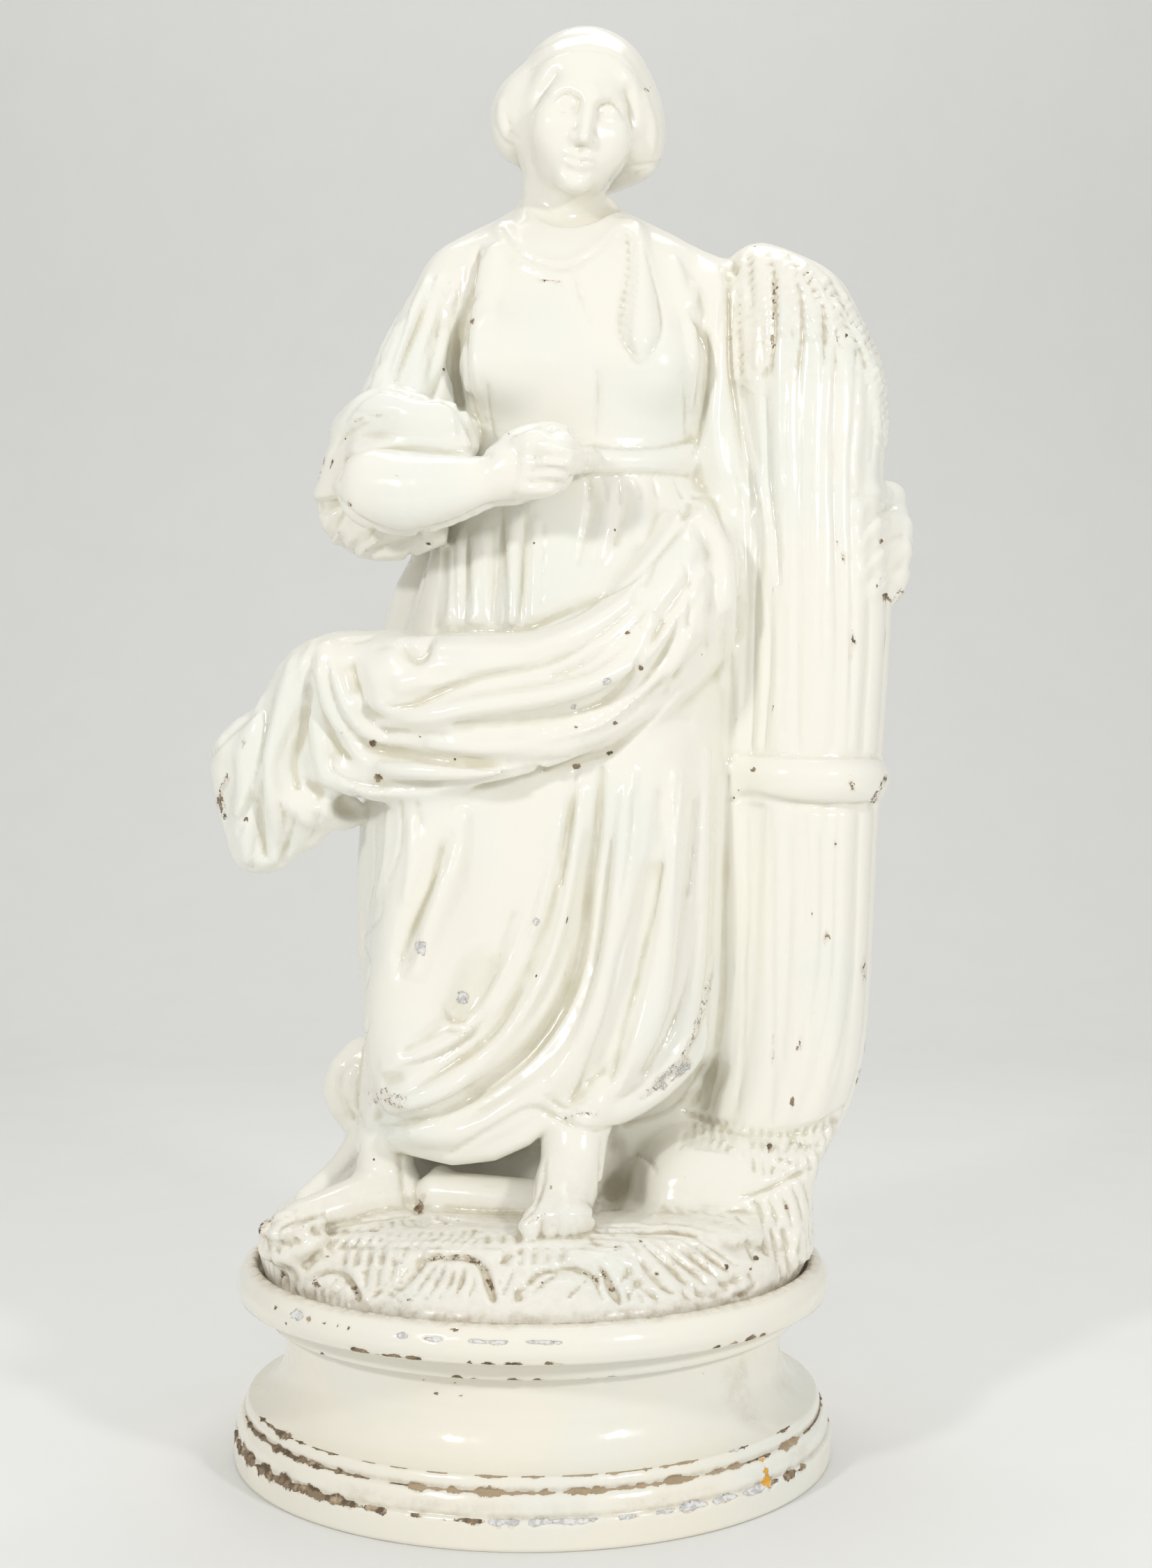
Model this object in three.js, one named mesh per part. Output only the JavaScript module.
// A glazed ceramic figurine: a standing woman with a wheat sheaf on a rocky mound, set on a round socle.
// Millimetres, +Z up, the viewer on the -Y side. The origin is the centre of the socle's underside.
import * as THREE from "three";

// Driving dimensions
const SOCLE_RADIUS = 116;
const SOCLE_BAND = 10.7;
const DISH_FLOOR = 70;
const DISH_RADIUS = 106.6;
const RIM_TOP = 75.5;
const RIM_RADIUS = 115;
const SEAT_GAP = 0.3;
const FIGURE_FOOT = DISH_FLOOR + SEAT_GAP;

// Places on the front are read along sight lines from one point in front of the figure. A place (u, v) is
// where the line crosses the upright plane through the axis: u across, v up. A depth y then moves it along.
const SIGHT = { distance: 800, height: 259 };

// Fineness of the sculpted solid
const CELL = 3.2;
const FIGURE_TRIANGLES = 7700;
const SOCLE_SIDES = 44;
const POINTS_PER_SPAN = 3;
const SLICES_PER_SPAN = 6;

// The space that the sculpture is made in
const FIELD = { low: [-136, -116, FIGURE_FOOT - 2 * CELL], high: [160, 118, 566] };
const FIELD_DEPTH = 130;

// How far one form runs softly into the next
const BLEND = { body: 4, sheaf: 4, strap: 1.5, rock: 4, mound: 5, hem: 5, ridge: 4, groove: 2.5 };
const FOLD_SHARE = 0.5;

const GLAZE = { color: new THREE.Color(0.87, 0.85, 0.78), roughness: 0.2, metalness: 0 };

// The dressed body from the neck to below the hem: height, left, right, front, back
const BODY = [
  [486, -4, 29, -13, 21],
  [480, -12, 42, -16, 24],
  [472, -26, 57, -21, 27],
  [462, -35, 67, -26, 29],
  [445, -34, 71, -31, 30],
  [425, -31, 69, -34, 29],
  [405, -29, 66, -32, 27],
  [388, -27, 63, -29, 26],
  [370, -31, 66, -31, 28],
  [345, -42, 70, -36, 33],
  [320, -49, 75, -41, 37],
  [290, -57, 75, -44, 40],
  [250, -67, 75, -47, 41],
  [200, -69, 74, -49, 42],
  [160, -66, 70, -52, 43],
  [125, -68, 62, -55, 44],
  [95, -60, 52, -50, 42],
];

// The lower edge of the skirt in front, x against height, and its plain level behind
const HEM = [
  [-75, 125], [-55, 121], [-30, 117.5], [-14, 120], [-1, 126], [6, 133], [20, 130.5],
  [31, 131.5], [41, 135.5], [51, 141], [61, 148], [72, 158],
];
const HEM_BEHIND = 110;
const HEM_TURN = { front: -20, back: 25 };

// The wheat sheaf from its ears to its cut ends: height, left, right, front, back
const SHEAF = [
  [472, 84, 95, -2, 12],
  [468, 79, 104, -10, 18],
  [460, 76, 119, -17, 24],
  [450, 76, 126, -21, 28],
  [436, 76, 132, -24, 31],
  [420, 77, 139, -26, 33],
  [400, 78, 139.5, -27, 34],
  [375, 79, 138, -27, 34],
  [340, 78, 141, -28, 35],
  [305, 78, 140, -28, 35],
  [262, 77, 137, -27, 34],
  [225, 75, 135, -27, 34],
  [185, 73, 133, -28, 34],
  [155, 70, 130.5, -28, 34],
  [135, 66, 125.5, -27, 33],
  [121, 62, 119, -26, 32],
  [106, 60, 110, -26, 32],
];
const STRAP = [
  [250, 78, 134, -25, 33],
  [252.5, 75, 138, -29, 36],
  [258, 74, 140.5, -32, 38],
  [264, 74, 140.5, -32, 38],
  [268.5, 75, 138, -29, 36],
  [271, 78, 135, -26, 33],
];

// Bundles of stalks round the sheaf, how far they stand out, and the heights between which they fade out
const STALK_COUNT = 14;
const STALK_RELIEF = 1.1;
const STALK_FADE = { from: 474, to: 452 };
const STALK_MEAN = 0.6;

// The mound from its foot to its flat top: height, left, right, front, back
const MOUND = [
  [70, -104, 104, -104, 104],
  [76, -106, 107, -103, 104],
  [82, -107, 109, -98, 103],
  [90, -101, 107, -91, 100],
  [96, -93, 106, -85, 95],
  [100, -76, 96, -68, 82],
];

// The block of rock that the sheaf stands on, boxy in plan
const ROCK = [
  [128, 70, 112, -20, 36],
  [123, 50, 115, -33, 40],
  [114, 40, 112, -40, 44],
  [105, 37, 109, -43, 47],
  [92, 36, 108, -46, 50],
  [80, 34, 107, -50, 54],
];
const ROCK_SQUARENESS = 3.6;

// Solid masses. Each row of a path is u, v, depth y and radius.
const MASSES = [
  { name: "neck", blend: 5, path: [[12, 497, 3, 16.5], [12, 480, 4, 17.5], [12, 468, 4, 22]] },
  {
    name: "right shoulder line", blend: 8,
    path: [
      [26, 479, 5, 9], [45, 467, 4, 11], [61, 456, 4, 12.5], [66, 444, 4, 12],
    ],
  },
  {
    name: "left shoulder line", blend: 8,
    path: [
      [-6, 474, 4, 9], [-22, 464, 3, 11.5], [-32, 454, 2, 12],
    ],
  },
  {
    name: "sleeve", blend: 5,
    path: [
      [-29, 457, 1, 13], [-40, 440, -4, 13], [-46, 424, -9, 15.5], [-49, 408, -13, 18],
    ],
  },
  { name: "cuff body", blend: 6, path: [[-50, 400, -12, 20], [-56, 382, -8, 24], [-56, 370, -8, 21]] },
  {
    name: "cuff top roll", blend: 4,
    path: [
      [-68, 397, -22, 8], [-61, 403, -28, 9.5], [-48, 402, -34, 9.5], [-36, 400, -35, 8.5],
      [-27, 393, -32, 5.5],
    ],
  },
  {
    name: "cuff outer roll", blend: 4,
    path: [
      [-69, 397, -20, 8], [-74, 384, -16, 8.5], [-77, 371, -12, 8.5], [-74, 362, -12, 8.5],
      [-65, 356, -15, 8.5], [-53, 355, -18, 8], [-41, 359, -24, 7.5],
    ],
  },
  {
    name: "forearm", blend: 3,
    path: [
      [-61, 375, -38, 15.5], [-48, 373, -43, 15.5], [-32, 375, -48, 12.5], [-18, 378, -50, 9.5],
      [-8, 382, -50, 10.5],
    ],
  },
  { name: "palm", blend: 4, path: [[-8, 382, -50, 12], [-1, 386, -48, 13]] },
  { name: "thumb", blend: 2, path: [[-8, 393, -50, 5], [4, 397, -52, 4.6], [12, 396, -53, 4]] },
  { name: "index finger", blend: 2, path: [[0, 391, -58, 5.4], [9, 391, -60, 5.2], [14, 390, -53, 5]] },
  { name: "middle finger", blend: 2, path: [[-1, 384, -58, 5.4], [8, 384, -60, 5.2], [13, 384, -53, 5]] },
  { name: "little finger", blend: 2, path: [[-2, 376, -56, 5], [5, 377, -58, 4.8], [10, 379, -52, 4.6]] },
  { name: "far upper arm", blend: 8, path: [[66, 452, 12, 15], [84, 425, 32, 15], [100, 398, 44, 14]] },
  { name: "far forearm", blend: 6, path: [[100, 398, 44, 14], [122, 378, 40, 12], [138, 362, 24, 10]] },
  {
    name: "grasping hand", blend: 5,
    path: [
      [138, 371, 18, 8], [140, 357, 8, 10], [139, 343, 2, 9], [141, 337, -2, 6],
    ],
  },
  {
    name: "mantle by the sheaf", blend: 6,
    path: [
      [70, 452, -4, 11], [71, 425, -6, 11], [72, 400, -6, 11], [76, 380, -6, 11], [82, 352, -5, 9],
      [80, 320, -5, 9],
    ],
  },
  {
    name: "skirt by the sheaf", blend: 6,
    path: [
      [79, 320, -6, 9], [76, 260, -8, 9], [74, 200, -8, 9], [71, 155, -8, 9],
    ],
  },
  {
    name: "swag body", blend: 7,
    path: [
      [-52, 298, -40, 19], [-25, 293, -44, 20], [5, 296, -43, 19], [32, 308, -36, 20],
      [52, 326, -24, 24], [58, 342, -14, 24], [63, 354, -8, 17],
    ],
  },
  {
    name: "swag upper roll", blend: 5,
    path: [
      [-50, 307, -50, 9], [-25, 309, -54, 9], [2, 311, -53, 8], [28, 321, -47, 8], [48, 338, -38, 9],
      [60, 357, -28, 9],
    ],
  },
  {
    name: "swag lower roll", blend: 5,
    path: [
      [-62, 262, -42, 9], [-35, 267, -52, 9.5], [-8, 271, -54, 8.5], [18, 278, -50, 7],
      [42, 290, -42, 7], [60, 304, -30, 8], [70, 316, -18, 8],
    ],
  },
  {
    name: "flying cloth top", blend: 7,
    path: [
      [-56, 300, -34, 18], [-75, 301, -32, 17.5], [-87, 297, -28, 15], [-98, 282, -24, 12],
      [-113, 270, -20, 12.5], [-115, 254, -18, 9.5], [-110, 234, -16, 9],
    ],
  },
  {
    name: "flying cloth middle", blend: 7,
    path: [
      [-84, 290, -28, 15], [-97, 270, -24, 15], [-104, 252, -20, 13], [-103, 235, -18, 10],
    ],
  },
  {
    name: "flying cloth inner", blend: 7,
    path: [
      [-72, 286, -32, 16], [-84, 268, -28, 15], [-91, 253, -24, 13], [-91, 243, -20, 10],
    ],
  },
  {
    name: "flying cloth hem", blend: 5,
    path: [
      [-66, 268, -36, 12], [-78, 258, -34, 9], [-84, 250, -26, 8], [-74, 248, -18, 7],
    ],
  },
  {
    name: "mantle behind the waist", blend: 5,
    path: [
      [-40, 345, 14, 9], [-46, 325, 14, 12], [-50, 300, 12, 12],
    ],
  },
  {
    name: "bent leg", blend: 10,
    path: [
      [-34, 250, -28, 22], [-40, 205, -32, 22], [-46, 165, -35, 20], [-42, 140, -38, 18],
    ],
  },
  { name: "straight leg", blend: 10, path: [[38, 270, -18, 25], [38, 210, -22, 24], [32, 165, -30, 20]] },
  { name: "trailing cloth", blend: 5, path: [[-66, 150, 10, 10], [-71, 140, 10, 12], [-67, 128, 10, 9]] },
  {
    name: "right ankle", blend: 3,
    path: [
      [-58, 120, -22, 11.5], [-59, 106, -25, 10.5], [-67, 97, -31, 8.5], [-81, 91, -42, 6],
      [-92, 89, -48, 5.5],
    ],
  },
  { name: "right heel", blend: 4, path: [[-52, 100, -25, 9], [-62, 93, -32, 7]] },
  {
    name: "left ankle", blend: 3,
    path: [
      [16, 124, -46, 11], [15, 110, -52, 10], [12, 100, -60, 9.5], [10, 91, -70, 8],
    ],
  },
  { name: "left forefoot", blend: 3, path: [[4, 88, -74, 6], [13, 88, -76, 6.5], [19, 88, -74, 5]] },
  {
    name: "rock behind the right foot", blend: 4,
    path: [
      [-64, 122, 4, 8], [-72, 108, -2, 8], [-88, 95, -12, 6],
    ],
  },
  { name: "rock under the hem", blend: 6, path: [[24, 108, 14, 20], [58, 122, 10, 17]] },
  {
    name: "rock at the back", blend: 8,
    path: [
      [-40, 100, 20, 18], [0, 104, 22, 22], [45, 104, 30, 22], [90, 108, 20, 18],
    ],
  },
  {
    name: "log between the feet", blend: 3,
    path: [
      [-38, 98, -34, 8], [-18, 96, -40, 7], [2, 92, -44, 7],
    ],
  },
];

// Rounded forms: u, v, depth y, then half sizes across, deep and high, and the roll in degrees
const HEAD_ROLL = 10;
const HEAD_FORMS = [
  { name: "cap", blend: 3, at: [20, 526, 2], half: [28, 31, 29.5], roll: HEAD_ROLL },
  { name: "left hair roll", blend: 6, at: [-3.5, 521, 0], half: [13.5, 18, 18], roll: 10 },
  { name: "right hair roll", blend: 6, at: [39.5, 517, 2], half: [12.5, 19, 19.5], roll: -8 },
  { name: "kerchief behind the neck", blend: 5, at: [27, 505, 14], half: [20, 14, 11], roll: HEAD_ROLL },
  { name: "face", blend: 3, at: [18, 518, -10], half: [20, 22.5, 25], roll: HEAD_ROLL },
  { name: "jaw", blend: 5, at: [16.5, 503, -15], half: [13.5, 15, 11.5], roll: HEAD_ROLL },
];
const BUST_FORMS = [
  { name: "left breast", blend: 8, at: [-9, 424, -22], half: [19, 15, 17], roll: 0 },
  { name: "right breast", blend: 8, at: [44, 423, -20], half: [19, 16, 17], roll: 0 },
];

// Folds laid on the surface. Each row of a path is u, v and radius; half of the radius stands proud or sinks.
const RIDGES = [
  { name: "neckline", path: [[-13, 479, 2], [-5, 467, 2.2], [12, 462, 2.2], [27, 470, 2.2], [36, 480, 2]] },
  { name: "lappet", path: [[40, 479, 3.5], [42, 462, 5], [42.5, 445, 6.5], [42, 435, 4.5]] },
  { name: "belt", path: [[8, 388.5, 4.5], [16, 387.5, 5.5], [38, 386.5, 5.5], [60, 387.5, 5.5]] },
  { name: "sleeve fold", path: [[-40, 454, 3], [-50, 436, 4.5], [-58, 418, 5]] },
  { name: "sleeve fold", path: [[-34, 452, 3], [-41, 435, 4.5], [-47, 417, 4.5]] },
  { name: "chest fold", path: [[-16, 468, 3], [-19, 445, 4], [-24, 415, 4]] },
  { name: "shoulder fold", path: [[56, 464, 1.5], [61, 445, 3.5], [63, 426, 1.5]] },
  { name: "dress fold", path: [[-30, 352, 3], [-31, 335, 4], [-32, 324, 4]] },
  { name: "dress fold", path: [[-22, 356, 3.5], [-23, 340, 4.5], [-24, 324, 4.5]] },
  { name: "dress fold", path: [[-8, 358, 3.5], [-8, 340, 4.5], [-9, 324, 4.5]] },
  { name: "dress fold", path: [[30, 374, 1.5], [29, 362, 2.2], [26, 348, 1]] },
  { name: "dress fold", path: [[44, 374, 1.5], [43, 365, 2.2], [41, 356, 1]] },
  {
    name: "swag fold",
    path: [
      [-52, 298, 2], [-25, 303, 5], [5, 305, 4.5], [30, 314, 4.5], [52, 332, 4.5], [62, 352, 4],
    ],
  },
  {
    name: "swag fold",
    path: [
      [-68, 292, 2], [-45, 284, 6], [-20, 289, 6], [10, 295, 5], [34, 303, 5], [56, 320, 5],
      [68, 342, 4],
    ],
  },
  {
    name: "swag fold",
    path: [
      [-60, 275, 2], [-30, 277, 5], [0, 279, 4.5], [25, 284, 4.5], [48, 300, 4.5], [68, 322, 2],
    ],
  },
  { name: "hip fold", path: [[66, 368, 3], [74, 352, 5], [77, 330, 5], [76, 300, 2]] },
  { name: "cloth fold", path: [[-82, 312, 4], [-79, 300, 5], [-74, 288, 5], [-64, 279, 4]] },
  { name: "cloth fold", path: [[-95, 306, 2], [-99, 287, 4.5], [-104, 262, 5], [-100, 238, 2]] },
  { name: "cloth fold", path: [[-106, 292, 1.5], [-113, 270, 5], [-114, 248, 4], [-112, 230, 2]] },
  { name: "knee ridge", path: [[-28, 246, 2], [-33, 225, 5.5], [-40, 208, 5.5], [-46, 185, 2]] },
  {
    name: "skirt sweep",
    path: [
      [18, 256, 1.5], [15, 220, 5], [8, 190, 6], [-4, 168, 6], [-22, 148, 6], [-42, 138, 5],
      [-60, 136, 2],
    ],
  },
  {
    name: "skirt sweep",
    path: [
      [4, 232, 1.5], [-1, 208, 4.5], [-10, 186, 5.5], [-22, 165, 5.5], [-40, 151, 5], [-58, 147, 2],
    ],
  },
  {
    name: "skirt fold",
    path: [
      [38, 262, 1.5], [34, 212, 5], [27, 175, 6], [14, 148, 6], [-8, 132, 6], [-30, 121, 5],
      [-55, 121, 4],
    ],
  },
  {
    name: "skirt fold",
    path: [
      [57, 262, 1.5], [53, 208, 4.5], [49, 170, 5], [36, 145, 5], [20, 130, 4],
    ],
  },
  { name: "skirt fold", path: [[68, 270, 1.5], [66, 208, 4.5], [62, 170, 5], [54, 146, 4]] },
  { name: "hem edge", path: [[20, 127, 4], [36, 131, 4], [52, 140, 4], [64, 152, 4], [70, 166, 4]] },
];

const GROOVES = [
  { name: "armpit", path: [[62, 446, 1.2], [67, 431, 3.6], [68, 415, 4], [64, 396, 2]] },
  { name: "sleeve seam", path: [[-22, 468, 2], [-25, 450, 2.8], [-30, 430, 3], [-30, 412, 2.2]] },
  { name: "sleeve groove", path: [[-37, 453, 2], [-46, 436, 3.5], [-52, 418, 3.5]] },
  { name: "sleeve groove", path: [[-33, 444, 2], [-38, 430, 3.5], [-40, 414, 3]] },
  { name: "dress groove", path: [[-35, 350, 2.5], [-36, 330, 3.5], [-37, 322, 3]] },
  { name: "dress groove", path: [[-26, 352, 2.5], [-27, 335, 3.5], [-28, 322, 3]] },
  { name: "dress groove", path: [[-15, 360, 2.5], [-15, 340, 4], [-17, 323, 4]] },
  { name: "dress groove", path: [[-1, 364, 2.5], [-2, 342, 4], [-3, 323, 3.5]] },
  { name: "dress groove", path: [[24, 376, 1.5], [22, 362, 2], [18, 346, 1]] },
  { name: "dress groove", path: [[37, 376, 1.5], [36, 365, 2], [33, 354, 1]] },
  {
    name: "swag groove",
    path: [
      [-40, 302, 3], [-15, 302, 4], [8, 307, 4], [25, 313, 3.5], [42, 326, 3],
    ],
  },
  {
    name: "swag groove",
    path: [
      [-58, 289, 1.2], [-30, 296, 3.5], [5, 300, 4], [30, 307, 4], [48, 322, 3.5], [60, 338, 1.5],
    ],
  },
  {
    name: "swag groove",
    path: [
      [-30, 283, 2.5], [-5, 285, 3], [20, 290, 4], [42, 302, 4], [60, 322, 3], [68, 338, 1.5],
    ],
  },
  {
    name: "swag main groove",
    path: [
      [-66, 271, 4], [-45, 270, 5], [-20, 268, 5], [5, 272, 4], [28, 279, 3], [52, 296, 3],
    ],
  },
  { name: "hip groove", path: [[60, 367, 1.5], [68, 356, 3], [71, 338, 3.4], [69, 314, 1.5]] },
  { name: "cloth groove", path: [[-88, 308, 1.5], [-92, 294, 4.5], [-93, 274, 6], [-90, 256, 3]] },
  { name: "cloth groove", path: [[-88, 292, 3], [-82, 280, 4], [-75, 268, 4], [-62, 261, 3]] },
  { name: "cloth groove", path: [[-103, 292, 2.5], [-108, 270, 4], [-107, 250, 4], [-105, 232, 3]] },
  {
    name: "skirt great groove",
    path: [
      [29, 262, 1.5], [25.5, 230, 5], [20, 200, 6], [11, 174, 6], [-3, 152, 6], [-24, 136, 6],
      [-46, 127, 5], [-62, 129, 4],
    ],
  },
  {
    name: "skirt groove",
    path: [
      [15, 252, 1.5], [9, 220, 3.5], [1, 195, 4.5], [-12, 170, 4.5], [-30, 154, 4], [-58, 141, 2.5],
    ],
  },
  { name: "skirt groove", path: [[-8, 208, 1.5], [-17, 184, 3.2], [-31, 166, 3.4], [-50, 155, 1.5]] },
  { name: "skirt groove", path: [[-36, 236, 1.5], [-42, 217, 3.8], [-47, 203, 3.8], [-53, 184, 1.5]] },
  {
    name: "skirt groove",
    path: [
      [50, 256, 1.5], [46, 212, 4], [40, 178, 4.5], [27, 148, 4], [16, 134, 2],
    ],
  },
  { name: "skirt groove", path: [[64, 252, 1.5], [60, 202, 3.6], [55, 168, 4], [44, 146, 2]] },
  {
    name: "skirt and sheaf",
    path: [
      [77, 325, 1.5], [76.5, 290, 3], [76, 250, 4.5], [75, 200, 6], [73, 160, 6], [69, 135, 5],
    ],
  },
  {
    name: "mantle and sheaf",
    path: [
      [77, 462, 3], [78, 440, 3.5], [80, 415, 3.5], [86, 385, 3.5], [84, 350, 3], [80, 320, 3],
    ],
  },
  { name: "rock recess", path: [[31, 116, 5], [31, 102, 6], [30, 92, 4]] },
  { name: "mound scallop", path: [[-95, 63, 1.5], [-85, 69, 4], [-77, 69, 4], [-68.5, 58, 1.5]] },
  { name: "mound scallop", path: [[-55, 61, 1.5], [-45, 71, 4], [-30, 75, 4], [-18, 70, 4], [-16.5, 58, 1.5]] },
  { name: "mound scallop", path: [[-5, 57, 1], [2, 67, 4], [15, 69, 4], [25, 65, 4], [32, 58, 1.5]] },
  { name: "mound ledge", path: [[42, 83, 3], [60, 83, 4], [80, 77, 4], [100, 76, 3]] },
];

// Folds of the mantle behind. Each row of a path is x, height and radius.
const BACK_RIDGES = [
  {
    name: "mantle fold",
    path: [
      [-24, 440, 4], [-30, 380, 7], [-40, 300, 8], [-46, 210, 8], [-48, 140, 7],
    ],
  },
  {
    name: "mantle fold",
    path: [
      [-2, 450, 4], [-8, 380, 7], [-14, 290, 8], [-18, 200, 9], [-20, 130, 8],
    ],
  },
  { name: "mantle fold", path: [[20, 452, 4], [16, 380, 6], [12, 290, 8], [10, 200, 8], [8, 130, 8]] },
  { name: "mantle fold", path: [[42, 440, 4], [40, 370, 7], [38, 280, 8], [36, 200, 8], [34, 135, 7]] },
  { name: "hair roll", path: [[2, 502, 6], [16, 498, 7.5], [32, 503, 6]] },
];
const BACK_GROOVES = [
  {
    name: "mantle groove",
    path: [
      [-12, 440, 3], [-18, 370, 5], [-27, 290, 6], [-33, 200, 6], [-35, 130, 5],
    ],
  },
  { name: "mantle groove", path: [[9, 440, 3], [5, 370, 5], [0, 290, 6], [-4, 200, 6], [-6, 125, 5]] },
  { name: "mantle groove", path: [[31, 440, 3], [28, 370, 5], [25, 280, 6], [22, 200, 6], [21, 130, 5]] },
];

// Curves and interpolation

// Points along a smooth curve through the rows of a path, whatever the rows hold
function along(path, perSpan) {
  const points = [];
  for (let i = 0; i < path.length - 1; i += 1) {
    const before = path[Math.max(i - 1, 0)];
    const start = path[i];
    const end = path[i + 1];
    const after = path[Math.min(i + 2, path.length - 1)];
    for (let step = 0; step < perSpan; step += 1) {
      const t = step / perSpan;
      points.push(start.map((value, k) => {
        const slopeIn = (end[k] - before[k]) / 2;
        const slopeOut = (after[k] - value) / 2;
        const bend = 3 * (end[k] - value) - 2 * slopeIn - slopeOut;
        const twist = 2 * (value - end[k]) + slopeIn + slopeOut;
        return value + t * (slopeIn + t * (bend + t * twist));
      }));
    }
  }
  points.push(path[path.length - 1]);
  return points;
}

// Rows of a table, keyed by their first column, blended at a key
function rowAt(rows, key) {
  const falling = rows[0][0] > rows[rows.length - 1][0];
  const ordered = falling ? [...rows].reverse() : rows;
  const last = ordered.length - 1;
  if (key <= ordered[0][0]) return ordered[0];
  if (key >= ordered[last][0]) return ordered[last];
  const next = ordered.findIndex((row) => row[0] > key);
  const low = ordered[next - 1];
  const high = ordered[next];
  const t = (key - low[0]) / (high[0] - low[0]);
  return low.map((value, k) => value + t * (high[k] - value));
}

function smoothUnion(a, b, blend) {
  const h = Math.max(blend - Math.abs(a - b), 0) / blend;
  return Math.min(a, b) - (h * h * blend) / 4;
}

function smoothCut(a, b, blend) {
  return -smoothUnion(-a, b, blend);
}

function smoothStep(low, high, x) {
  const t = Math.min(Math.max((x - low) / (high - low), 0), 1);
  return t * t * (3 - 2 * t);
}

// A place seen at (u, v), moved along its sight line to depth y
function place(u, v, y) {
  const scale = (SIGHT.distance + y) / SIGHT.distance;
  return [u * scale, y, SIGHT.height + (v - SIGHT.height) * scale];
}

// Forms. A form has a box that holds it and a function that gives the distance to its surface, less than
// zero inside.

function boxAround(points, margin) {
  const low = [0, 1, 2].map((k) => Math.min(...points.map((p) => p[k])) - margin);
  const high = [0, 1, 2].map((k) => Math.max(...points.map((p) => p[k])) + margin);
  return { low, high };
}

function roundChain(points) {
  const links = [];
  for (let i = 0; i < points.length - 1; i += 1) {
    const a = points[i];
    const b = points[i + 1];
    const run = [b[0] - a[0], b[1] - a[1], b[2] - a[2]];
    links.push({ a, run, length2: run[0] ** 2 + run[1] ** 2 + run[2] ** 2, taper: b[3] - a[3] });
  }
  const distance = (x, y, z) => {
    let nearest = Infinity;
    for (const { a, run, length2, taper } of links) {
      const dx = x - a[0];
      const dy = y - a[1];
      const dz = z - a[2];
      const t = Math.min(Math.max((dx * run[0] + dy * run[1] + dz * run[2]) / length2, 0), 1);
      const gap = Math.hypot(dx - t * run[0], dy - t * run[1], dz - t * run[2]) - a[3] - t * taper;
      if (gap < nearest) nearest = gap;
    }
    return nearest;
  };
  return { ...boxAround(points, Math.max(...points.map((p) => p[3]))), distance };
}

function massForm({ path }) {
  const rows = path.map(([u, v, y, radius]) => [...place(u, v, y), radius]);
  return roundChain(along(rows, POINTS_PER_SPAN));
}

function ellipsoidForm({ at, half, roll }) {
  const [cx, cy, cz] = place(...at);
  const turn = THREE.MathUtils.degToRad(roll);
  const cos = Math.cos(turn);
  const sin = Math.sin(turn);
  const [rx, ry, rz] = half;
  const distance = (x, y, z) => {
    const dx = x - cx;
    const dz = z - cz;
    const px = cos * dx - sin * dz;
    const pz = sin * dx + cos * dz;
    const py = y - cy;
    const k0 = Math.hypot(px / rx, py / ry, pz / rz);
    const k1 = Math.hypot(px / rx ** 2, py / ry ** 2, pz / rz ** 2);
    return k1 > 0 ? (k0 * (k0 - 1)) / k1 : -Math.min(rx, ry, rz);
  };
  return { ...boxAround([[cx, cy, cz]], Math.max(rx, ry, rz)), distance };
}

// A closed form of oval slices, from a table of height, left, right, front and back
function loftForm(rows, { relief = () => 0, power = 2 } = {}) {
  const tiny = 1e-6;
  const heights = rows.map((row) => row[0]);
  const bottom = Math.min(...heights);
  const top = Math.max(...heights);
  const ordered = rows[0][0] > rows[1][0] ? [...rows].reverse() : rows;
  const smooth = along(ordered, SLICES_PER_SPAN);
  const distance = (x, y, z) => {
    const [, left, right, front, back] = rowAt(smooth, z);
    const rx = (right - left) / 2;
    const ry = (back - front) / 2;
    const px = (x - (left + right) / 2) / rx;
    const py = (y - (front + back) / 2) / ry;
    const reach = (Math.abs(px) ** power + Math.abs(py) ** power) ** (1 / power);
    const slope = Math.hypot(px / rx, py / ry) / Math.max(Math.hypot(px, py), tiny);
    const side = (reach - 1) / Math.max(slope, 1 / Math.max(rx, ry)) - relief(px, py, z);
    return Math.max(side, z - top, bottom - z);
  };
  const corners = rows.flatMap(([z, left, right, front, back]) => [[left, front, z], [right, back, z]]);
  return { ...boxAround(corners, 1), distance };
}

// The skirt ends at its hem, which dips and rises in front and is level behind
function cutAtHem(form) {
  const distance = (x, y, z) => {
    const front = rowAt(HEM, x)[1];
    const level = front + (HEM_BEHIND - front) * smoothStep(HEM_TURN.front, HEM_TURN.back, y);
    return smoothCut(form.distance(x, y, z), z - level, BLEND.hem);
  };
  return { ...form, distance };
}

// Rounded bundles all round the sheaf, that fade out at the ears
function stalkRelief(px, py, z) {
  const angle = Math.atan2(py, px);
  const round = Math.abs(Math.sin((STALK_COUNT * angle) / 2));
  return STALK_RELIEF * (round - STALK_MEAN) * smoothStep(STALK_FADE.from, STALK_FADE.to, z);
}

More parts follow.
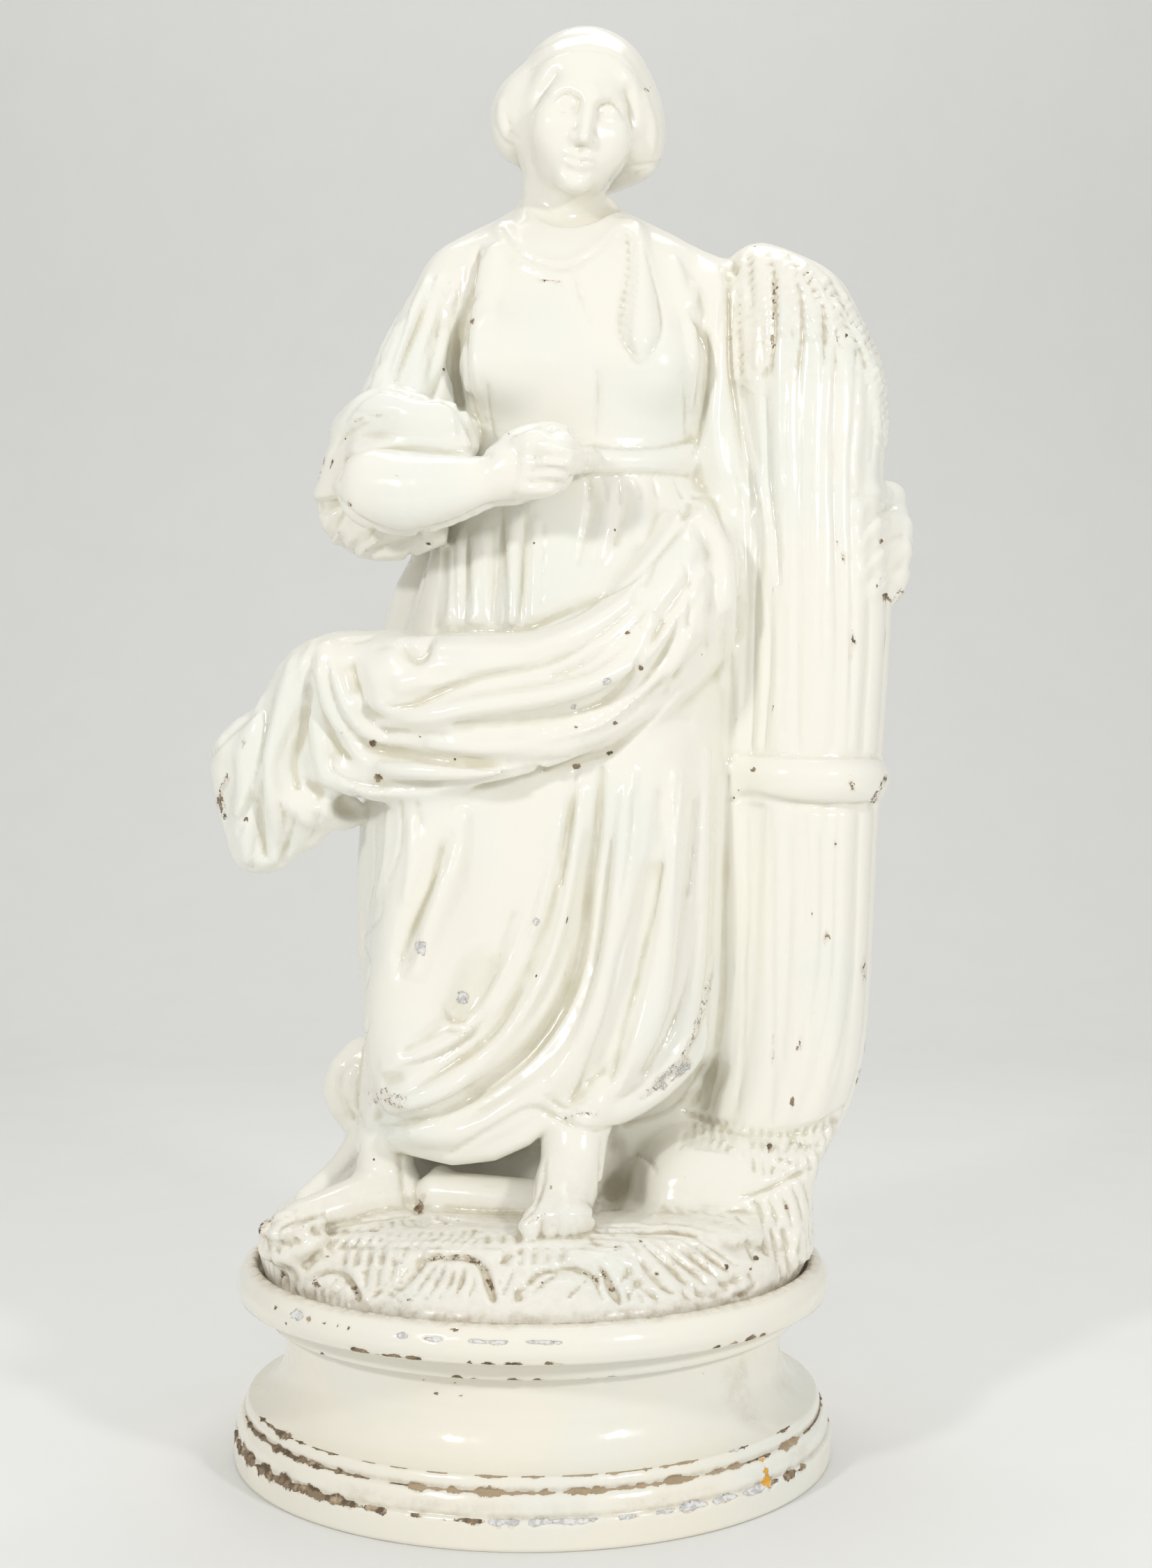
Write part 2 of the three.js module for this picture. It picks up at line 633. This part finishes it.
const baseForms = [
  { form: cutAtHem(loftForm(BODY)), blend: BLEND.body },
  { form: loftForm(SHEAF, { relief: stalkRelief }), blend: BLEND.sheaf },
  { form: loftForm(STRAP), blend: BLEND.strap },
  { form: loftForm(ROCK, { power: ROCK_SQUARENESS }), blend: BLEND.rock },
  { form: loftForm(MOUND), blend: BLEND.mound },
  ...MASSES.map((mass) => ({ form: massForm(mass), blend: mass.blend })),
  ...[...BUST_FORMS, ...HEAD_FORMS].map((part) => ({ form: ellipsoidForm(part), blend: part.blend })),
];

function baseDistance(x, y, z) {
  let total = Infinity;
  for (const { form, blend } of baseForms) {
    const outside = Math.max(
      form.low[0] - x, x - form.high[0],
      form.low[1] - y, y - form.high[1],
      form.low[2] - z, z - form.high[2],
    );
    if (outside > total + blend) continue;
    const gap = form.distance(x, y, z);
    total = total === Infinity ? gap : smoothUnion(total, gap, blend);
  }
  return total;
}

// The surface's outward direction at a point
function outward([x, y, z]) {
  const step = 0.5;
  const slope = [
    baseDistance(x + step, y, z) - baseDistance(x - step, y, z),
    baseDistance(x, y + step, z) - baseDistance(x, y - step, z),
    baseDistance(x, y, z + step) - baseDistance(x, y, z - step),
  ];
  const length = Math.hypot(...slope) || 1;
  return slope.map((part) => part / length);
}

// Where a line of points, given by how far along it they are, meets the figure or passes nearest to it,
// moved outward by lift
const WALK = { reach: 200, mostSteps: 90, closeEnough: 0.05, stride: 0.8, leastStep: 0.3 };

function onSurface(pointAt, lift) {
  let travel = 0;
  let nearest = { gap: Infinity, travel };
  for (let step = 0; step < WALK.mostSteps && travel < WALK.reach; step += 1) {
    const gap = baseDistance(...pointAt(travel));
    if (gap < nearest.gap) nearest = { gap, travel };
    if (gap < WALK.closeEnough) break;
    travel += Math.max(gap * WALK.stride, WALK.leastStep);
  }
  const point = pointAt(nearest.travel);
  const normal = outward(point);
  const shift = lift - Math.max(nearest.gap, 0);
  return point.map((value, k) => value + normal[k] * shift);
}

const fromFront = (u, v) => (travel) => place(u, v, travel - FIELD_DEPTH);
const fromBehind = (x, z) => (travel) => [x, FIELD_DEPTH - travel, z];

// A share of a fold's radius shows: a ridge stands out by it and a groove is cut in by it
function foldForm({ path }, view, side) {
  const rows = along(path, POINTS_PER_SPAN).map(([a, b, radius]) => (
    [...onSurface(view(a, b), side * radius * FOLD_SHARE), radius]));
  return roundChain(rows);
}

// Sculpting: the distance field on a grid, from which the surface is drawn

const FAR_AWAY = 1e3;

function makeGrid(low, high, cell) {
  const count = [0, 1, 2].map((k) => Math.ceil((high[k] - low[k]) / cell) + 1);
  const values = new Float32Array(count[0] * count[1] * count[2]).fill(FAR_AWAY);
  const at = (i, j, k) => (k * count[1] + j) * count[0] + i;
  return { low, cell, count, values, at };
}

function combine(grid, form, margin, join) {
  const nodeAt = (k, place, round) => {
    const node = round((place - grid.low[k]) / grid.cell);
    return Math.min(Math.max(node, 0), grid.count[k] - 1);
  };
  const first = [0, 1, 2].map((k) => nodeAt(k, form.low[k] - margin, Math.floor));
  const last = [0, 1, 2].map((k) => nodeAt(k, form.high[k] + margin, Math.ceil));
  for (let k = first[2]; k <= last[2]; k += 1) {
    for (let j = first[1]; j <= last[1]; j += 1) {
      for (let i = first[0]; i <= last[0]; i += 1) {
        const index = grid.at(i, j, k);
        const gap = form.distance(
          grid.low[0] + i * grid.cell, grid.low[1] + j * grid.cell, grid.low[2] + k * grid.cell);
        grid.values[index] = join(grid.values[index], gap);
      }
    }
  }
}

function sculptFigure() {
  const grid = makeGrid(FIELD.low, FIELD.high, CELL);
  const reach = 3 * CELL;
  for (const { form, blend } of baseForms) {
    combine(grid, form, blend + reach, (total, gap) => smoothUnion(total, gap, blend));
  }
  const raise = (form) => {
    combine(grid, form, BLEND.ridge + reach, (total, gap) => smoothUnion(total, gap, BLEND.ridge));
  };
  const carve = (form) => {
    combine(grid, form, BLEND.groove + reach, (total, gap) => smoothCut(total, gap, BLEND.groove));
  };
  RIDGES.forEach((fold) => raise(foldForm(fold, fromFront, -1)));
  BACK_RIDGES.forEach((fold) => raise(foldForm(fold, fromBehind, -1)));
  GROOVES.forEach((fold) => carve(foldForm(fold, fromFront, 1)));
  BACK_GROOVES.forEach((fold) => carve(foldForm(fold, fromBehind, 1)));
  return grid;
}

// The six tetrahedra of a cell, as corners numbered by their x, y and z bits, all round one diagonal
const CELL_CORNERS = 8;
const CELL_TETRAHEDRA = [
  [0, 1, 3, 7], [0, 3, 2, 7], [0, 2, 6, 7], [0, 6, 4, 7], [0, 4, 5, 7], [0, 5, 1, 7],
];

// A vertex keeps this share of its edge between itself and either end
const EDGE_MARGIN = 0.08;

// The surface where the field is zero, as shared vertices and triangles that close on each other
function drawSurface(grid) {
  const { low, cell, count, values, at } = grid;
  const vertices = [];
  const triangles = [];
  const known = new Map();
  const nodeOf = (i, j, k, corner) => (
    at(i + (corner & 1), j + ((corner >> 1) & 1), k + ((corner >> 2) & 1)));
  const positionOf = (node) => {
    const i = node % count[0];
    const j = Math.floor(node / count[0]) % count[1];
    const k = Math.floor(node / (count[0] * count[1]));
    return [low[0] + i * cell, low[1] + j * cell, low[2] + k * cell];
  };
  const crossing = (a, b) => {
    const first = Math.min(a, b);
    const second = Math.max(a, b);
    const key = first * values.length + second;
    if (known.has(key)) return known.get(key);
    const share = values[first] / (values[first] - values[second]);
    const t = Math.min(Math.max(share, EDGE_MARGIN), 1 - EDGE_MARGIN);
    const p = positionOf(first);
    const q = positionOf(second);
    vertices.push(p.map((value, axis) => value + t * (q[axis] - value)));
    known.set(key, vertices.length - 1);
    return vertices.length - 1;
  };
  // Turned so that the face looks away from the node that is inside
  const addFace = (a, b, c, inside) => {
    const [p, q, r] = [vertices[a], vertices[b], vertices[c]];
    const normal = cross(minus(q, p), minus(r, p));
    const faces = dot(normal, minus(p, positionOf(inside))) > 0;
    triangles.push(faces ? [a, b, c] : [a, c, b]);
  };
  for (let k = 0; k < count[2] - 1; k += 1) {
    for (let j = 0; j < count[1] - 1; j += 1) {
      for (let i = 0; i < count[0] - 1; i += 1) {
        const inFirst = values[at(i, j, k)] < 0;
        let mixed = false;
        for (let corner = 1; corner < CELL_CORNERS && !mixed; corner += 1) {
          mixed = (values[nodeOf(i, j, k, corner)] < 0) !== inFirst;
        }
        if (!mixed) continue;
        for (const corners of CELL_TETRAHEDRA) {
          const nodes = corners.map((corner) => nodeOf(i, j, k, corner));
          const inside = nodes.filter((node) => values[node] < 0);
          const outside = nodes.filter((node) => values[node] >= 0);
          if (inside.length === 1) {
            addFace(...outside.map((node) => crossing(inside[0], node)), inside[0]);
          } else if (inside.length === 3) {
            addFace(...inside.map((node) => crossing(node, outside[0])), inside[0]);
          } else if (inside.length === 2) {
            const a = crossing(inside[0], outside[0]);
            const b = crossing(inside[0], outside[1]);
            const c = crossing(inside[1], outside[1]);
            const d = crossing(inside[1], outside[0]);
            addFace(a, b, c, inside[0]);
            addFace(a, c, d, inside[0]);
          }
        }
      }
    }
  }
  return { vertices, triangles };
}

function minus(a, b) {
  return [a[0] - b[0], a[1] - b[1], a[2] - b[2]];
}

function dot(a, b) {
  return a[0] * b[0] + a[1] * b[1] + a[2] * b[2];
}

function cross(a, b) {
  return [a[1] * b[2] - a[2] * b[1], a[2] * b[0] - a[0] * b[2], a[0] * b[1] - a[1] * b[0]];
}

// Only the largest connected surface is kept
function largestBody({ vertices, triangles }) {
  const parent = vertices.map((_, index) => index);
  const rootOf = (index) => {
    let root = index;
    while (parent[root] !== root) root = parent[root];
    while (parent[index] !== root) [parent[index], index] = [root, parent[index]];
    return root;
  };
  for (const [a, b, c] of triangles) {
    parent[rootOf(b)] = rootOf(a);
    parent[rootOf(c)] = rootOf(a);
  }
  const sizes = new Map();
  for (const [a] of triangles) sizes.set(rootOf(a), (sizes.get(rootOf(a)) || 0) + 1);
  const largest = [...sizes.entries()].sort((one, other) => other[1] - one[1])[0][0];
  return { vertices, triangles: triangles.filter(([a]) => rootOf(a) === largest) };
}

// Thinning: the edge whose removal moves the surface least goes first, as long as the surface stays closed
// and no face turns over. A vertex's error is the sum of squared distances to the planes that met there.

const QUADRIC_SIZE = 10;

// Least cosine of the turn and least ratio of area to longest side squared that a changed face may have, the
// cost of length, the area and the determinant that count as nothing, and how far, in edge lengths, the
// point of least error may lie from the edge's middle
const THINNING = {
  leastCosine: 0.25, leastArea: 0.04, lengthCost: 1e-4, noArea: 1e-9, flat: 1e-6, farthest: 1.5,
};

function addPlane(quadrics, vertex, [a, b, c], d, weight) {
  const base = vertex * QUADRIC_SIZE;
  const terms = [a * a, a * b, a * c, a * d, b * b, b * c, b * d, c * c, c * d, d * d];
  for (let i = 0; i < QUADRIC_SIZE; i += 1) quadrics[base + i] += terms[i] * weight;
}

function quadricError(q, x, y, z) {
  return q[0] * x * x + 2 * q[1] * x * y + 2 * q[2] * x * z + 2 * q[3] * x
    + q[4] * y * y + 2 * q[5] * y * z + 2 * q[6] * y + q[7] * z * z + 2 * q[8] * z + q[9];
}

// The point of least error, or the best of the edge's ends and middle where that point isn't clear
function bestPoint(q, p, r) {
  const det = q[0] * (q[4] * q[7] - q[5] * q[5]) - q[1] * (q[1] * q[7] - q[5] * q[2])
    + q[2] * (q[1] * q[5] - q[4] * q[2]);
  const middle = [(p[0] + r[0]) / 2, (p[1] + r[1]) / 2, (p[2] + r[2]) / 2];
  const options = [p, r, middle];
  const size = Math.hypot(...minus(p, r));
  if (Math.abs(det) > THINNING.flat) {
    const x = (-q[3] * (q[4] * q[7] - q[5] * q[5]) + q[1] * (q[6] * q[7] - q[8] * q[5])
      - q[2] * (q[6] * q[5] - q[8] * q[4])) / det;
    const y = (-q[0] * (q[6] * q[7] - q[8] * q[5]) + q[3] * (q[1] * q[7] - q[5] * q[2])
      - q[2] * (q[1] * q[8] - q[6] * q[2])) / det;
    const z = (-q[0] * (q[4] * q[8] - q[5] * q[6]) + q[1] * (q[1] * q[8] - q[6] * q[2])
      - q[3] * (q[1] * q[5] - q[4] * q[2])) / det;
    const away = Math.hypot(x - middle[0], y - middle[1], z - middle[2]);
    if (away < THINNING.farthest * size) options.push([x, y, z]);
  }
  let best = { error: Infinity, point: middle };
  for (const point of options) {
    const error = quadricError(q, ...point);
    if (error < best.error) best = { error, point };
  }
  return best;
}

// A queue that gives back the item of least cost first
class CostQueue {
  constructor() {
    this.items = [];
  }

  push(item) {
    const { items } = this;
    items.push(item);
    let child = items.length - 1;
    while (child > 0) {
      const parent = (child - 1) >> 1;
      if (items[parent].cost <= items[child].cost) break;
      [items[parent], items[child]] = [items[child], items[parent]];
      child = parent;
    }
  }

  pop() {
    const { items } = this;
    const top = items[0];
    const tail = items.pop();
    if (items.length > 0) {
      items[0] = tail;
      let parent = 0;
      for (;;) {
        let child = 2 * parent + 1;
        if (child >= items.length) break;
        if (child + 1 < items.length && items[child + 1].cost < items[child].cost) child += 1;
        if (items[parent].cost <= items[child].cost) break;
        [items[parent], items[child]] = [items[child], items[parent]];
        parent = child;
      }
    }
    return top;
  }
}

function thin({ vertices, triangles }, target) {
  const points = vertices.map((p) => [...p]);
  const faces = triangles.map((face) => [...face]);
  const alive = new Uint8Array(faces.length).fill(1);
  const touching = points.map(() => new Set());
  const quadrics = new Float64Array(points.length * QUADRIC_SIZE);
  const stamp = new Uint32Array(points.length);
  faces.forEach((face, index) => {
    const [p, q, r] = face.map((vertex) => points[vertex]);
    const normal = cross(minus(q, p), minus(r, p));
    const area = Math.hypot(...normal);
    face.forEach((vertex) => touching[vertex].add(index));
    if (area < THINNING.noArea) return;
    const unit = normal.map((value) => value / area);
    face.forEach((vertex) => addPlane(quadrics, vertex, unit, -dot(unit, p), area));
  });
  const around = (vertex) => {
    const ring = new Set();
    for (const face of touching[vertex]) faces[face].forEach((other) => ring.add(other));
    ring.delete(vertex);
    return ring;
  };
  const addQuadric = (target, base, from) => {
    for (let i = 0; i < QUADRIC_SIZE; i += 1) target[base + i] += quadrics[from * QUADRIC_SIZE + i];
  };
  const queue = new CostQueue();
  const offer = (a, b) => {
    const q = new Float64Array(QUADRIC_SIZE);
    addQuadric(q, 0, a);
    addQuadric(q, 0, b);
    const { error, point } = bestPoint(q, points[a], points[b]);
    const spread = dot(minus(points[a], points[b]), minus(points[a], points[b]));
    const cost = error + THINNING.lengthCost * spread;
    queue.push({ cost, a, b, point, stampA: stamp[a], stampB: stamp[b] });
  };
  points.forEach((_, vertex) => {
    for (const other of around(vertex)) if (other > vertex) offer(vertex, other);
  });
  // A face that keeps two of its corners must still look the same way and not become a sliver
  const turnsOver = (vertex, gone, point) => {
    for (const index of touching[vertex]) {
      const face = faces[index];
      if (face.includes(gone)) continue;
      const [p, q, r] = face.map((corner) => points[corner]);
      const [np, nq, nr] = face.map((corner) => (corner === vertex ? point : points[corner]));
      const before = cross(minus(q, p), minus(r, p));
      const after = cross(minus(nq, np), minus(nr, np));
      const size = Math.hypot(...after);
      if (dot(before, after) < THINNING.leastCosine * Math.hypot(...before) * size) return true;
      const sides = [minus(nq, np), minus(nr, np), minus(nr, nq)];
      const longest = Math.max(...sides.map((side) => dot(side, side)));
      if (size < THINNING.leastArea * longest) return true;
    }
    return false;
  };
  let left = faces.length;
  while (left > target && queue.items.length > 0) {
    const { a, b, point, stampA, stampB } = queue.pop();
    if (stamp[a] !== stampA || stamp[b] !== stampB) continue;
    if (touching[a].size === 0 || touching[b].size === 0) continue;
    const ringA = around(a);
    const ringB = around(b);
    if (!ringA.has(b)) continue;
    const shared = [...ringA].filter((vertex) => ringB.has(vertex));
    if (shared.length !== 2 || turnsOver(a, b, point) || turnsOver(b, a, point)) continue;
    for (const index of [...touching[b]]) {
      const face = faces[index];
      if (face.includes(a)) {
        alive[index] = 0;
        left -= 1;
        face.forEach((corner) => touching[corner].delete(index));
      } else {
        face[face.indexOf(b)] = a;
        touching[a].add(index);
      }
    }
    touching[b].clear();
    points[a] = point;
    addQuadric(quadrics, a * QUADRIC_SIZE, b);
    stamp[a] += 1;
    stamp[b] += 1;
    for (const other of around(a)) offer(a, other);
  }
  return { vertices: points, triangles: faces.filter((_, index) => alive[index]) };
}

// The foot is flat: every point near or below its level is moved to it
const FOOT_SETTLE = 1.2;

function flattenFoot({ vertices, triangles }, level) {
  return {
    vertices: vertices.map(([x, y, z]) => [x, y, z < level + FOOT_SETTLE ? level : z]),
    triangles,
  };
}

function toGeometry({ vertices, triangles }) {
  const used = new Map();
  const position = [];
  const index = triangles.flat().map((vertex) => {
    if (!used.has(vertex)) {
      used.set(vertex, used.size);
      position.push(...vertices[vertex]);
    }
    return used.get(vertex);
  });
  const geometry = new THREE.BufferGeometry();
  geometry.setAttribute("position", new THREE.Float32BufferAttribute(position, 3));
  geometry.setIndex(index);
  geometry.computeVertexNormals();
  return geometry;
}

// The woman, her sheaf and the mound are one casting
function makeFigure() {
  const surface = largestBody(drawSurface(sculptFigure()));
  const geometry = toGeometry(flattenFoot(thin(surface, FIGURE_TRIANGLES), FIGURE_FOOT));
  const mesh = new THREE.Mesh(geometry, new THREE.MeshStandardMaterial(GLAZE));
  mesh.name = "figure";
  return mesh;
}

// The socle's outline as radius and height, from its foot up: a plain band, a bulging moulding, a narrow
// one, a hollow, a stepped lip and the rim round a shallow dish
const BAND_FLARE = 0.3;
const BULGE = { from: [114.8, 11.4], to: [113, 18.6], swell: 0.8, steps: 3 };
const BEAD = { from: [111.6, 19.4], to: [110.4, 24], swell: 0.6, steps: 2 };
const HOLLOW = { depth: 14, height: 18, steps: 6 };
const LIP = [[97, 53], [103, 54.4], [104, 61], [112.8, 62.2]];
const RIM = { from: [114.2, 63.7], to: [RIM_RADIUS - 3.6, RIM_TOP], swell: 1.9, steps: 4 };
const DISH_EDGE = [DISH_RADIUS + 1.2, RIM_TOP - 0.8];

function bulging({ from, to, swell, steps }) {
  const points = [];
  for (let step = 1; step <= steps; step += 1) {
    const t = step / steps;
    const out = swell * 4 * t * (1 - t);
    points.push([from[0] + t * (to[0] - from[0]) + out, from[1] + t * (to[1] - from[1])]);
  }
  return points;
}

function hollowed([radius, height], { depth, height: rise, steps }) {
  const points = [];
  for (let step = 1; step <= steps; step += 1) {
    const turn = (step / steps) * (Math.PI / 2);
    points.push([radius - depth * Math.sin(turn), height + rise * (1 - Math.cos(turn))]);
  }
  return points;
}

function socleProfile() {
  const points = [
    [0, 0],
    [SOCLE_RADIUS, 0],
    [SOCLE_RADIUS + BAND_FLARE, SOCLE_BAND],
    ...bulging(BULGE),
    BEAD.from,
    ...bulging(BEAD),
    ...hollowed(BEAD.to, HOLLOW),
    ...LIP,
    ...bulging(RIM),
    DISH_EDGE,
    [DISH_RADIUS, DISH_FLOOR],
    [0, DISH_FLOOR],
  ];
  return points.map(([radius, height]) => new THREE.Vector2(radius, height));
}

function makeSocle() {
  const geometry = new THREE.LatheGeometry(socleProfile(), SOCLE_SIDES);
  geometry.rotateX(Math.PI / 2);
  const mesh = new THREE.Mesh(geometry, new THREE.MeshStandardMaterial(GLAZE));
  mesh.name = "socle";
  return mesh;
}

const group = new THREE.Group();
group.add(makeSocle(), makeFigure());

export default group;
